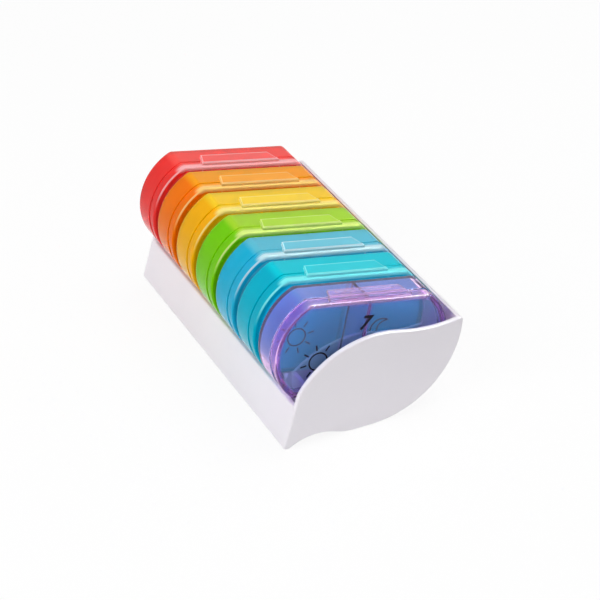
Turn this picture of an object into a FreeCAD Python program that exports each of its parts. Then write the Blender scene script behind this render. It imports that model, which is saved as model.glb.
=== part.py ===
import FreeCAD, Part
import math
import os
import Sketcher

# Weekly pill organizer: one wave-shaped tray that carries seven daily pill boxes.
# Dividers stand across the tray between the bays, notched over two rails that the boxes sit on.
# Millimetres, +Z up.  The boxes stand in a row along Y; the last day's box is the front one, at -Y.
# The tray is drawn in the X-Z plane with the foot of its left wall at X = 0, Z = 0 and its front
# face at Y = 0.  A box is drawn about its own middle, with Y = 0 on the front face of its lid.

SIZES = {
    # box outline: two flats, joined by two bulging side arcs
    "day_count": 7,
    "flat_length": 51.6,
    "box_height": 40.0,
    "side_bulge": 10.6,
    "corner_round": 3.0,
    "box_depth": 16.5,
    "lean_angle": 10.8,
    # lid
    "lid_face": 1.5,
    "rim_depth": 3.15,
    "lid_depth": 5.0,
    "skirt_step": 0.35,
    "skirt_wall": 0.85,
    "face_round": 1.0,
    "edge_round": 0.3,
    "lid_gap": 0.15,
    # thumb tongue of the lid, and the bead under it that snaps into the case
    "tongue_length": 35.0,
    "tongue_start": 1.0,
    "tongue_reach": 8.4,
    "tongue_thick": 0.9,
    "tongue_slant": 2.2,
    "bead_length": 24.0,
    "bead_width": 0.7,
    "bead_depth": 0.4,
    "bead_inset": 0.5,
    # case
    "case_wall": 2.2,
    "case_back": 1.5,
    "divider_wall": 1.4,
    "back_round": 2.0,
    "lip_gap": 0.2,
    # hinge under the box
    "pin_radius": 0.8,
    "pin_length": 18.0,
    "pin_drop": 2.0,
    "pin_setback": 2.2,
    "ear_wall": 1.3,
    "knuckle_wall": 0.8,
    "knuckle_gap": 0.2,
    "knuckle_start": 1.2,
    # tray
    "tray_wall": 2.4,
    "end_wall": 2.2,
    "end_gap": 0.8,
    "rib_wall": 1.2,
    "rib_gap": 0.65,
    "rib_drop": 12.0,
    "belly_x": 38.0,
    "belly_flat": 7.0,
    "nest_offset": 10.4,
    "nest_angle": 32.0,
    "cradle_gap": 1.5,
    "hollow_x": 14.0,
    "hollow_rise": 3.2,
    "sole_end": 2.4,
    "foot_round": 1.2,
    "wall_lean": 15.9,
    "sill_gap": 2.6,
    "crest_height": 41.0,
    "crest_radius": 38.5,
    "shoulder_rise": 3.67,
    "shoulder_round": 12.0,
    "dip_x": 65.0,
    "dip_radius": 60.0,
    "tip_round": 1.6,
    "rim_round": 0.9,
    "rail_wall": 1.8,
    "rail_inset": 8.5,
    "notch_gap": 0.1,
    "seat_gap": 0.15,
}

doc = FreeCAD.newDocument("pill_organizer")
sheet = doc.addObject("Spreadsheet::Sheet", "Sizes")
for row, (alias, value) in enumerate(SIZES.items(), start=1):
    sheet.set(f"A{row}", alias)
    sheet.set(f"B{row}", str(value))
    sheet.setAlias(f"B{row}", alias)
doc.recompute()


def size(alias):
    """The number that the sheet holds under this name."""
    return float(getattr(sheet, alias))


# ---------------------------------------------------------------- sizes worked out from the sheet
# Each one is written twice: as a number, for the first drawing of a sketch, and as a formula,
# which binds the finished object to the sheet.

HALF_HEIGHT = size("box_height") / 2
HALF_HEIGHT_F = "(Sizes.box_height / 2)"
SIDE_RADIUS = (HALF_HEIGHT ** 2 + size("side_bulge") ** 2) / (2 * size("side_bulge"))
SIDE_RADIUS_F = f"(({HALF_HEIGHT_F} ^ 2 + Sizes.side_bulge ^ 2) / (2 * Sizes.side_bulge))"
SIDE_CENTRE = size("flat_length") / 2 + size("side_bulge") - SIDE_RADIUS
SIDE_CENTRE_F = f"(Sizes.flat_length / 2 + Sizes.side_bulge - {SIDE_RADIUS_F})"

PITCH = size("box_depth") + size("rib_wall") + 2 * size("rib_gap")
PITCH_F = "(Sizes.box_depth + Sizes.rib_wall + 2 * Sizes.rib_gap)"
END = size("end_wall") + size("end_gap")
END_F = "(Sizes.end_wall + Sizes.end_gap)"
TRAY_LENGTH = 2 * END + (size("day_count") - 1) * PITCH + size("box_depth")
TRAY_LENGTH_F = f"(2 * {END_F} + (Sizes.day_count - 1) * {PITCH_F} + Sizes.box_depth)"

INNER_BELLY = SIDE_RADIUS + size("cradle_gap") + size("nest_offset")
INNER_BELLY_F = f"({SIDE_RADIUS_F} + Sizes.cradle_gap + Sizes.nest_offset)"
BELLY_RADIUS = INNER_BELLY + size("tray_wall")
BELLY_RADIUS_F = f"({INNER_BELLY_F} + Sizes.tray_wall)"

LEAN = math.radians(size("lean_angle"))
NEST = math.radians(size("nest_angle"))
BOX_X = size("belly_x") + size("nest_offset") * math.cos(NEST) - SIDE_CENTRE * math.cos(LEAN)
BOX_X_F = (
    "(Sizes.belly_x + Sizes.nest_offset * cos(Sizes.nest_angle)"
    f" - {SIDE_CENTRE_F} * cos(Sizes.lean_angle))"
)
BOX_Z = BELLY_RADIUS - size("nest_offset") * math.sin(NEST) + SIDE_CENTRE * math.sin(LEAN)
BOX_Z_F = (
    f"({BELLY_RADIUS_F} - Sizes.nest_offset * sin(Sizes.nest_angle)"
    f" + {SIDE_CENTRE_F} * sin(Sizes.lean_angle))"
)

# the left wall's top edge lies under the lower left corner of the boxes
SILL_Z = BOX_Z + size("flat_length") / 2 * math.sin(LEAN) - HALF_HEIGHT * math.cos(LEAN) - size("sill_gap")
SILL_Z_F = (
    f"({BOX_Z_F} + Sizes.flat_length / 2 * sin(Sizes.lean_angle)"
    f" - {HALF_HEIGHT_F} * cos(Sizes.lean_angle) - Sizes.sill_gap)"
)

# the middle of the whole part, from the boxes' left sides to the tray's right tip
MIDDLE_X_F = (
    f"(({BOX_X_F} - {SIDE_CENTRE_F} * cos(Sizes.lean_angle) - {SIDE_RADIUS_F}"
    f" + Sizes.belly_x + {BELLY_RADIUS_F}) / 2)"
)


# ---------------------------------------------------------------- sketch helpers

# how a constraint numbers the points of a sketch item, and the sketch's own origin and X axis
FIRST, LAST, CENTRE = range(1, 4)
ROOT = X_AXIS = -FIRST


def add_line(sketch, x1, z1, x2, z2):
    start = FreeCAD.Vector(x1, z1, 0)
    end = FreeCAD.Vector(x2, z2, 0)
    return sketch.addGeometry(Part.LineSegment(start, end), False)


def add_arc(sketch, x, z, radius, start, end):
    """An arc that runs counter-clockwise from one angle to the other, in radians."""
    circle = Part.Circle(FreeCAD.Vector(x, z, 0), FreeCAD.Vector(0, 0, 1), radius)
    return sketch.addGeometry(Part.ArcOfCircle(circle, start, end), False)


def join(sketch, one, one_end, other, other_end):
    sketch.addConstraint(Sketcher.Constraint("Coincident", one, one_end, other, other_end))


def blend(sketch, one, one_end, other, other_end):
    """Two ends meet and run on smoothly."""
    sketch.addConstraint(Sketcher.Constraint("Tangent", one, one_end, other, other_end))


def bind(sketch, constraint, formula):
    index = sketch.addConstraint(constraint)
    sketch.setExpression(f"Constraints[{index}]", formula)


def place_x(sketch, item, point, value, formula):
    bind(sketch, Sketcher.Constraint("DistanceX", ROOT, FIRST, item, point, value), formula)


def place_z(sketch, item, point, value, formula):
    bind(sketch, Sketcher.Constraint("DistanceY", ROOT, FIRST, item, point, value), formula)


def set_radius(sketch, item, value, formula):
    bind(sketch, Sketcher.Constraint("Radius", item, value), formula)


def on_ground(sketch, item, point):
    sketch.addConstraint(Sketcher.Constraint("PointOnObject", item, point, X_AXIS))


def level(sketch, item):
    sketch.addConstraint(Sketcher.Constraint("Horizontal", item))


def upright(sketch, item):
    sketch.addConstraint(Sketcher.Constraint("Vertical", item))


def add_rectangle(sketch, left, left_f, right, right_f, low, low_f, high, high_f):
    """A rectangle whose four sides are each bound to a formula."""
    bottom = add_line(sketch, left, low, right, low)
    side = add_line(sketch, right, low, right, high)
    top = add_line(sketch, right, high, left, high)
    back = add_line(sketch, left, high, left, low)
    join(sketch, bottom, LAST, side, FIRST)
    join(sketch, side, LAST, top, FIRST)
    join(sketch, top, LAST, back, FIRST)
    join(sketch, back, LAST, bottom, FIRST)
    level(sketch, bottom)
    level(sketch, top)
    upright(sketch, side)
    upright(sketch, back)
    place_x(sketch, bottom, FIRST, left, left_f)
    place_x(sketch, bottom, LAST, right, right_f)
    place_z(sketch, bottom, FIRST, low, low_f)
    place_z(sketch, top, FIRST, high, high_f)


def corner_spot(inset):
    """Where a corner of the outline is centred, out from the middle, and the side arc's half angle."""
    corner = size("corner_round")
    radius = SIDE_RADIUS - inset
    up = HALF_HEIGHT - inset - corner
    turn = math.asin(up / (radius - corner))
    return SIDE_CENTRE + (radius - corner) * math.cos(turn), up, turn


def add_side(sketch, side, inset, inset_f):
    """One bulging side arc with its two corner arcs; gives their top and bottom ends."""
    corner = size("corner_round")
    radius = SIDE_RADIUS - inset
    out, up, turn = corner_spot(inset)
    middle = 0 if side > 0 else math.pi
    arc = add_arc(sketch, side * SIDE_CENTRE, 0, radius, middle - turn, middle + turn)
    place_x(sketch, arc, CENTRE, side * SIDE_CENTRE, f"{side} * {SIDE_CENTRE_F}")
    on_ground(sketch, arc, CENTRE)
    set_radius(sketch, arc, radius, f"{SIDE_RADIUS_F} - {inset_f}")
    quarter = math.pi / 2
    if side > 0:
        high = add_arc(sketch, out, up, corner, turn, quarter)
        low = add_arc(sketch, out, -up, corner, -quarter, -turn)
        blend(sketch, arc, LAST, high, FIRST)
        blend(sketch, arc, FIRST, low, LAST)
        ends = ((high, LAST), (low, FIRST))
    else:
        high = add_arc(sketch, -out, up, corner, quarter, math.pi - turn)
        low = add_arc(sketch, -out, -up, corner, math.pi + turn, 3 * quarter)
        blend(sketch, arc, FIRST, high, LAST)
        blend(sketch, arc, LAST, low, FIRST)
        ends = ((high, FIRST), (low, LAST))
    set_radius(sketch, high, corner, "Sizes.corner_round")
    set_radius(sketch, low, corner, "Sizes.corner_round")
    return ends


def add_barrel(sketch, inset, inset_f):
    """The box outline, drawn in from the outside by the inset."""
    half = HALF_HEIGHT - inset
    out = corner_spot(inset)[0]
    top = add_line(sketch, out, half, -out, half)
    bottom = add_line(sketch, -out, -half, out, -half)
    place_z(sketch, top, FIRST, half, f"{HALF_HEIGHT_F} - {inset_f}")
    place_z(sketch, bottom, FIRST, -half, f"{inset_f} - {HALF_HEIGHT_F}")
    right_high, right_low = add_side(sketch, 1, inset, inset_f)
    left_high, left_low = add_side(sketch, -1, inset, inset_f)
    blend(sketch, *right_high, top, FIRST)
    blend(sketch, *left_high, top, LAST)
    blend(sketch, *left_low, bottom, FIRST)
    blend(sketch, *right_low, bottom, LAST)
    level(sketch, top)
    level(sketch, bottom)


def add_compartment(sketch, side):
    """One half of the box's inside: the divider, two flats and one bulging side."""
    inset = size("case_wall")
    half = HALF_HEIGHT - inset
    out = corner_spot(inset)[0]
    edge = side * size("divider_wall") / 2
    top = add_line(sketch, edge, half, side * out, half)
    bottom = add_line(sketch, edge, -half, side * out, -half)
    divider = add_line(sketch, edge, half, edge, -half)
    join(sketch, divider, FIRST, top, FIRST)
    join(sketch, divider, LAST, bottom, FIRST)
    high, low = add_side(sketch, side, inset, "Sizes.case_wall")
    blend(sketch, *high, top, LAST)
    blend(sketch, *low, bottom, LAST)
    level(sketch, top)
    level(sketch, bottom)
    upright(sketch, divider)
    place_x(sketch, divider, FIRST, edge, f"{side} * Sizes.divider_wall / 2")
    place_z(sketch, top, FIRST, half, f"{HALF_HEIGHT_F} - Sizes.case_wall")
    place_z(sketch, bottom, FIRST, -half, f"Sizes.case_wall - {HALF_HEIGHT_F}")


# ---------------------------------------------------------------- body helpers

def sketch_on(body, plane, name, offset_f):
    """A sketch on one of the body's own planes, moved along that plane's normal."""
    sketch = body.newObject("Sketcher::SketchObject", f"{body.Name}_{name}")
    support = next(item for item in body.Origin.OriginFeatures if item.Role == plane)
    sketch.AttachmentSupport = [(support, "")]
    sketch.MapMode = "FlatFace"
    sketch.setExpression("AttachmentOffset.Base.z", offset_f)
    return sketch


def add_pad(body, sketch, length_f, backward=False, both_ways=False):
    pad = body.newObject("PartDesign::Pad", f"{sketch.Name}_pad")
    pad.Profile = sketch
    pad.setExpression("Length", length_f)
    pad.Reversed = backward
    if both_ways:
        pad.SideType = "Symmetric"
    doc.recompute()
    return pad


def add_pocket(body, sketch, length_f, backward=False, both_ways=False):
    before = body.Shape.Volume
    pocket = body.newObject("PartDesign::Pocket", f"{sketch.Name}_pocket")
    pocket.Profile = sketch
    pocket.setExpression("Length", length_f)
    pocket.Reversed = backward
    if both_ways:
        pocket.SideType = "Symmetric"
    doc.recompute()
    if pocket.Shape.Volume >= before:
        raise RuntimeError(f"{pocket.Name} cuts nothing")
    return pocket


def edges_at(shape, y, tolerance=1e-4):
    """Names of the edges that lie wholly at one Y."""
    names = []
    for number, edge in enumerate(shape.Edges, start=1):
        box = edge.BoundBox
        if abs(box.YMin - y) < tolerance and abs(box.YMax - y) < tolerance:
            names.append(f"Edge{number}")
    return names


def add_round(body, base, y, radius_f):
    """Round every edge of the base feature that lies at one Y."""
    rounding = body.newObject("PartDesign::Fillet", f"{base.Name}_round")
    rounding.Base = (base, edges_at(base.Shape, y))
    rounding.setExpression("Radius", radius_f)
    doc.recompute()
    return rounding


def add_top_round(body, base, z, radius_f, tolerance=1e-4):
    """Round every edge of the base feature that lies at one height."""
    names = []
    for number, edge in enumerate(base.Shape.Edges, start=1):
        box = edge.BoundBox
        if abs(box.ZMin - z) < tolerance and abs(box.ZMax - z) < tolerance:
            names.append(f"Edge{number}")
    rounding = body.newObject("PartDesign::Fillet", f"{base.Name}_round")
    rounding.Base = (base, names)
    rounding.setExpression("Radius", radius_f)
    doc.recompute()
    return rounding


# ---------------------------------------------------------------- the daily boxes

LID_END_F = "(Sizes.lid_depth + Sizes.lid_gap)"
PIN_Y = size("lid_depth") + size("pin_setback")
PIN_Y_F = "(Sizes.lid_depth + Sizes.pin_setback)"
PIN_Z = -HALF_HEIGHT - size("pin_drop")
PIN_Z_F = f"(-{HALF_HEIGHT_F} - Sizes.pin_drop)"
KNUCKLE_RADIUS = size("pin_radius") + size("knuckle_gap") + size("knuckle_wall")
KNUCKLE_RADIUS_F = "(Sizes.pin_radius + Sizes.knuckle_gap + Sizes.knuckle_wall)"


def add_circle(sketch, x, x_f, z, z_f, radius, radius_f):
    centre = FreeCAD.Vector(x, z, 0)
    item = sketch.addGeometry(Part.Circle(centre, FreeCAD.Vector(0, 0, 1), radius), False)
    place_x(sketch, item, CENTRE, x, x_f)
    place_z(sketch, item, CENTRE, z, z_f)
    set_radius(sketch, item, radius, radius_f)


def add_tongue(body):
    """The thumb tongue: a root on the lid's rim, and a plate that reaches back over the case."""
    half = size("tongue_length") / 2
    low = HALF_HEIGHT - size("skirt_wall")
    high = HALF_HEIGHT + size("lid_gap") + size("tongue_thick")
    high_f = f"{HALF_HEIGHT_F} + Sizes.lid_gap + Sizes.tongue_thick"
    root = sketch_on(body, "XZ_Plane", "tongue_root", "-Sizes.tongue_start")
    add_rectangle(
        root, -half, "-Sizes.tongue_length / 2", half, "Sizes.tongue_length / 2",
        low, f"{HALF_HEIGHT_F} - Sizes.skirt_wall", high, high_f,
    )
    add_pad(body, root, "Sizes.rim_depth - Sizes.tongue_start", backward=True)

    plate = sketch_on(body, "XY_Plane", "tongue_plate", f"{HALF_HEIGHT_F} + Sizes.lid_gap")
    start = size("tongue_start")
    reach = size("tongue_reach")
    tail = half - size("tongue_slant")
    near = add_line(plate, -half, start, half, start)
    right = add_line(plate, half, start, tail, reach)
    far = add_line(plate, tail, reach, -tail, reach)
    left = add_line(plate, -tail, reach, -half, start)
    join(plate, near, LAST, right, FIRST)
    join(plate, right, LAST, far, FIRST)
    join(plate, far, LAST, left, FIRST)
    join(plate, left, LAST, near, FIRST)
    level(plate, near)
    level(plate, far)
    place_x(plate, near, FIRST, -half, "-Sizes.tongue_length / 2")
    place_x(plate, near, LAST, half, "Sizes.tongue_length / 2")
    place_z(plate, near, FIRST, start, "Sizes.tongue_start")
    place_z(plate, far, FIRST, reach, "Sizes.tongue_reach")
    place_x(plate, far, FIRST, tail, "Sizes.tongue_length / 2 - Sizes.tongue_slant")
    place_x(plate, far, LAST, -tail, "Sizes.tongue_slant - Sizes.tongue_length / 2")
    plate_pad = add_pad(body, plate, "Sizes.tongue_thick")
    add_top_round(body, plate_pad, high, "Sizes.edge_round")

    bead = sketch_on(body, "YZ_Plane", "bead", "0")
    back = reach - size("bead_inset")
    low = HALF_HEIGHT - size("bead_depth")
    add_rectangle(
        bead,
        back - size("bead_width"), "Sizes.tongue_reach - Sizes.bead_inset - Sizes.bead_width",
        back, "Sizes.tongue_reach - Sizes.bead_inset",
        low, f"{HALF_HEIGHT_F} - Sizes.bead_depth",
        HALF_HEIGHT + 2 * size("lid_gap"), f"{HALF_HEIGHT_F} + 2 * Sizes.lid_gap",
    )
    add_pad(body, bead, "Sizes.bead_length", both_ways=True)


def add_knuckle(body):
    """The lid's half of the hinge: a block under the rim that ends in an eye round the pin."""
    low = PIN_Z - KNUCKLE_RADIUS
    low_f = f"{PIN_Z_F} - {KNUCKLE_RADIUS_F}"
    width_f = "Sizes.pin_length - 2 * Sizes.knuckle_gap"
    block = sketch_on(body, "YZ_Plane", "knuckle_block", "0")
    add_rectangle(
        block,
        size("knuckle_start"), "Sizes.knuckle_start",
        size("rim_depth"), "Sizes.rim_depth",
        low, low_f,
        -HALF_HEIGHT + size("skirt_wall"), f"Sizes.skirt_wall - {HALF_HEIGHT_F}",
    )
    add_pad(body, block, width_f, both_ways=True)
    arm = sketch_on(body, "YZ_Plane", "knuckle_arm", "0")
    add_rectangle(
        arm,
        size("knuckle_start"), "Sizes.knuckle_start",
        PIN_Y, PIN_Y_F,
        low, low_f,
        PIN_Z + KNUCKLE_RADIUS, f"{PIN_Z_F} + {KNUCKLE_RADIUS_F}",
    )
    add_pad(body, arm, width_f, both_ways=True)
    eye = sketch_on(body, "YZ_Plane", "knuckle_eye", "0")
    add_circle(eye, PIN_Y, PIN_Y_F, PIN_Z, PIN_Z_F, KNUCKLE_RADIUS, KNUCKLE_RADIUS_F)
    add_pad(body, eye, width_f, both_ways=True)
    bore = sketch_on(body, "YZ_Plane", "knuckle_bore", "0")
    add_circle(
        bore, PIN_Y, PIN_Y_F, PIN_Z, PIN_Z_F,
        size("pin_radius") + size("knuckle_gap"), "Sizes.pin_radius + Sizes.knuckle_gap",
    )
    add_pocket(body, bore, "Sizes.pin_length", both_ways=True)


def make_lid(name):
    """The lid: face plate, rim, skirt, thumb tongue and hinge knuckle, in one moulding."""
    body = doc.addObject("PartDesign::Body", name)
    rim = sketch_on(body, "XZ_Plane", "rim", "0")
    add_barrel(rim, 0, "0")
    rim_pad = add_pad(body, rim, "Sizes.rim_depth", backward=True)
    rim_front = add_round(body, rim_pad, 0, "Sizes.face_round")
    add_round(body, rim_front, size("rim_depth"), "Sizes.edge_round")
    skirt = sketch_on(body, "XZ_Plane", "skirt", "-Sizes.lid_face")
    add_barrel(skirt, size("skirt_step"), "Sizes.skirt_step")
    add_pad(body, skirt, "Sizes.lid_depth - Sizes.lid_face", backward=True)
    inside = sketch_on(body, "XZ_Plane", "inside", "-Sizes.lid_face")
    add_barrel(
        inside, size("skirt_step") + size("skirt_wall"), "(Sizes.skirt_step + Sizes.skirt_wall)"
    )
    add_pocket(body, inside, "Sizes.lid_depth")
    add_tongue(body)
    add_knuckle(body)
    return body


def add_ears(body):
    """The case's half of the hinge: two ears under the bottom flat, with a pin between them."""
    front = PIN_Y - KNUCKLE_RADIUS
    front_f = f"{PIN_Y_F} - {KNUCKLE_RADIUS_F}"
    back = PIN_Y + KNUCKLE_RADIUS
    back_f = f"{PIN_Y_F} + {KNUCKLE_RADIUS_F}"
    low = PIN_Z - KNUCKLE_RADIUS
    low_f = f"{PIN_Z_F} - {KNUCKLE_RADIUS_F}"
    ears = sketch_on(body, "YZ_Plane", "ears", "0")
    add_rectangle(
        ears, front, front_f, back, back_f, low, low_f,
        -HALF_HEIGHT + size("case_wall") / 2, f"Sizes.case_wall / 2 - {HALF_HEIGHT_F}",
    )
    add_pad(body, ears, "Sizes.pin_length + 2 * Sizes.ear_wall", both_ways=True)
    margin = size("ear_wall")
    margin_f = "Sizes.ear_wall"
    space = sketch_on(body, "YZ_Plane", "ear_space", "0")
    add_rectangle(
        space, front - margin, f"{front_f} - {margin_f}", back + margin, f"{back_f} + {margin_f}",
        low - margin, f"{low_f} - {margin_f}", -HALF_HEIGHT, f"-{HALF_HEIGHT_F}",
    )
    add_pocket(body, space, "Sizes.pin_length", both_ways=True)
    pin = sketch_on(body, "YZ_Plane", "pin", "0")
    add_circle(
        pin, PIN_Y, PIN_Y_F, PIN_Z, PIN_Z_F, size("pin_radius"), "Sizes.pin_radius"
    )
    add_pad(body, pin, "Sizes.pin_length + Sizes.ear_wall", both_ways=True)


def make_case(name):
    """The case: two compartments, a lip that the lid closes round, and the hinge ears."""
    body = doc.addObject("PartDesign::Body", name)
    shell = sketch_on(body, "XZ_Plane", "shell", f"-{LID_END_F}")
    add_barrel(shell, 0, "0")
    shell_pad = add_pad(body, shell, f"Sizes.box_depth - {LID_END_F}", backward=True)
    shell_back = add_round(body, shell_pad, size("box_depth"), "Sizes.back_round")
    add_round(body, shell_back, size("lid_depth") + size("lid_gap"), "Sizes.edge_round")
    lip = sketch_on(body, "XZ_Plane", "lip", "-(Sizes.lid_face + Sizes.lip_gap)")
    lip_inset = size("skirt_step") + size("skirt_wall") + size("lid_gap")
    add_barrel(lip, lip_inset, "(Sizes.skirt_step + Sizes.skirt_wall + Sizes.lid_gap)")
    add_pad(body, lip, "Sizes.lid_depth", backward=True)
    inside = sketch_on(body, "XZ_Plane", "compartments", "-Sizes.lid_face")
    add_compartment(inside, -1)
    add_compartment(inside, 1)
    add_pocket(body, inside, "Sizes.box_depth - Sizes.case_back - Sizes.lid_face")
    groove = sketch_on(body, "YZ_Plane", "bead_groove", "0")
    back = size("tongue_reach") - size("bead_inset") + size("lid_gap")
    front = back - size("bead_width") - 2 * size("lid_gap")
    add_rectangle(
        groove,
        front, "Sizes.tongue_reach - Sizes.bead_inset - Sizes.bead_width - Sizes.lid_gap",
        back, "Sizes.tongue_reach - Sizes.bead_inset + Sizes.lid_gap",
        HALF_HEIGHT - size("bead_depth") - size("lid_gap"),
        f"{HALF_HEIGHT_F} - Sizes.bead_depth - Sizes.lid_gap",
        HALF_HEIGHT + size("lid_gap"), f"{HALF_HEIGHT_F} + Sizes.lid_gap",
    )
    add_pocket(body, groove, "Sizes.bead_length + 2 * Sizes.lid_gap", both_ways=True)
    add_ears(body)
    return body


def seat_box_piece(body, day):
    """Lean the piece and stand it in its bay; the last day is the front one."""
    bays_behind = f"(Sizes.day_count - {day})"
    body.setExpression("Placement.Base.x", f"{BOX_X_F} - {MIDDLE_X_F}")
    body.setExpression("Placement.Base.y", f"{END_F} + {bays_behind} * {PITCH_F} - {TRAY_LENGTH_F} / 2")
    body.setExpression("Placement.Base.z", BOX_Z_F)
    body.Placement.Rotation = FreeCAD.Rotation(FreeCAD.Vector(0, 1, 0), size("lean_angle"))
    body.setExpression("Placement.Rotation.Angle", "Sizes.lean_angle")


# ---------------------------------------------------------------- the tray

WALL_LEAN = math.radians(size("wall_lean"))
# the hollow runs smoothly into a small arc at the end of the left wall's sole
HOLLOW_RADIUS = (
    (size("hollow_x") - size("sole_end")) ** 2 + size("hollow_rise") ** 2
    - 2 * size("hollow_rise") * size("foot_round")
) / (2 * size("hollow_rise"))
HOLLOW_RADIUS_F = (
    "(((Sizes.hollow_x - Sizes.sole_end) ^ 2 + Sizes.hollow_rise ^ 2"
    " - 2 * Sizes.hollow_rise * Sizes.foot_round) / (2 * Sizes.hollow_rise))"
)
# the left edge is straight up to a little over the sill, and the shoulder's arc starts there
SHOULDER_Z = SILL_Z + size("shoulder_rise") - size("shoulder_round") * math.sin(WALL_LEAN)
SHOULDER_Z_F = (
    f"({SILL_Z_F} + Sizes.shoulder_rise - Sizes.shoulder_round * sin(Sizes.wall_lean))"
)
SHOULDER_X = (
    (SILL_Z + size("shoulder_rise")) * math.tan(WALL_LEAN)
    + size("shoulder_round") * math.cos(WALL_LEAN)
)
SHOULDER_X_F = (
    f"(({SILL_Z_F} + Sizes.shoulder_rise) * tan(Sizes.wall_lean)"
    " + Sizes.shoulder_round * cos(Sizes.wall_lean))"
)
CREST_Z = size("crest_height") - size("crest_radius")
CREST_Z_F = "(Sizes.crest_height - Sizes.crest_radius)"
CREST_X = SHOULDER_X + math.sqrt(
    (size("crest_radius") - size("shoulder_round")) ** 2 - (CREST_Z - SHOULDER_Z) ** 2
)
CREST_X_F = (
    f"({SHOULDER_X_F} + sqrt((Sizes.crest_radius - Sizes.shoulder_round) ^ 2"
    f" - ({CREST_Z_F} - {SHOULDER_Z_F}) ^ 2))"
)
FLOOR_Z = size("hollow_rise") + size("tray_wall")
FLOOR_Z_F = "(Sizes.hollow_rise + Sizes.tray_wall)"


def meet(x1, z1, r1, x2, z2, r2, upper):
    """Where two circles cross: the upper or the lower of the two points."""
    dx = x2 - x1
    dz = z2 - z1
    gap = math.hypot(dx, dz)
    along = (r1 ** 2 - r2 ** 2 + gap ** 2) / (2 * gap)
    aside = math.sqrt(r1 ** 2 - along ** 2)
    points = []
    for sign in (-1, 1):
        x = x1 + (along * dx - sign * aside * dz) / gap
        z = z1 + (along * dz + sign * aside * dx) / gap
        points.append((x, z))
    points.sort(key=lambda point: point[1])
    return points[-1] if upper else points[0]


def bearing(x, z, px, pz):
    """Direction from one point to another, in radians from 0 to a full turn."""
    return math.atan2(pz - z, px - x) % (2 * math.pi)


def dip_centre_z(crest_z):
    """Height of the centre of the dip's arc, which touches the crest's arc."""
    reach = size("crest_radius") + size("dip_radius")
    return crest_z + math.sqrt(reach ** 2 - (size("dip_x") - CREST_X) ** 2)


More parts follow.
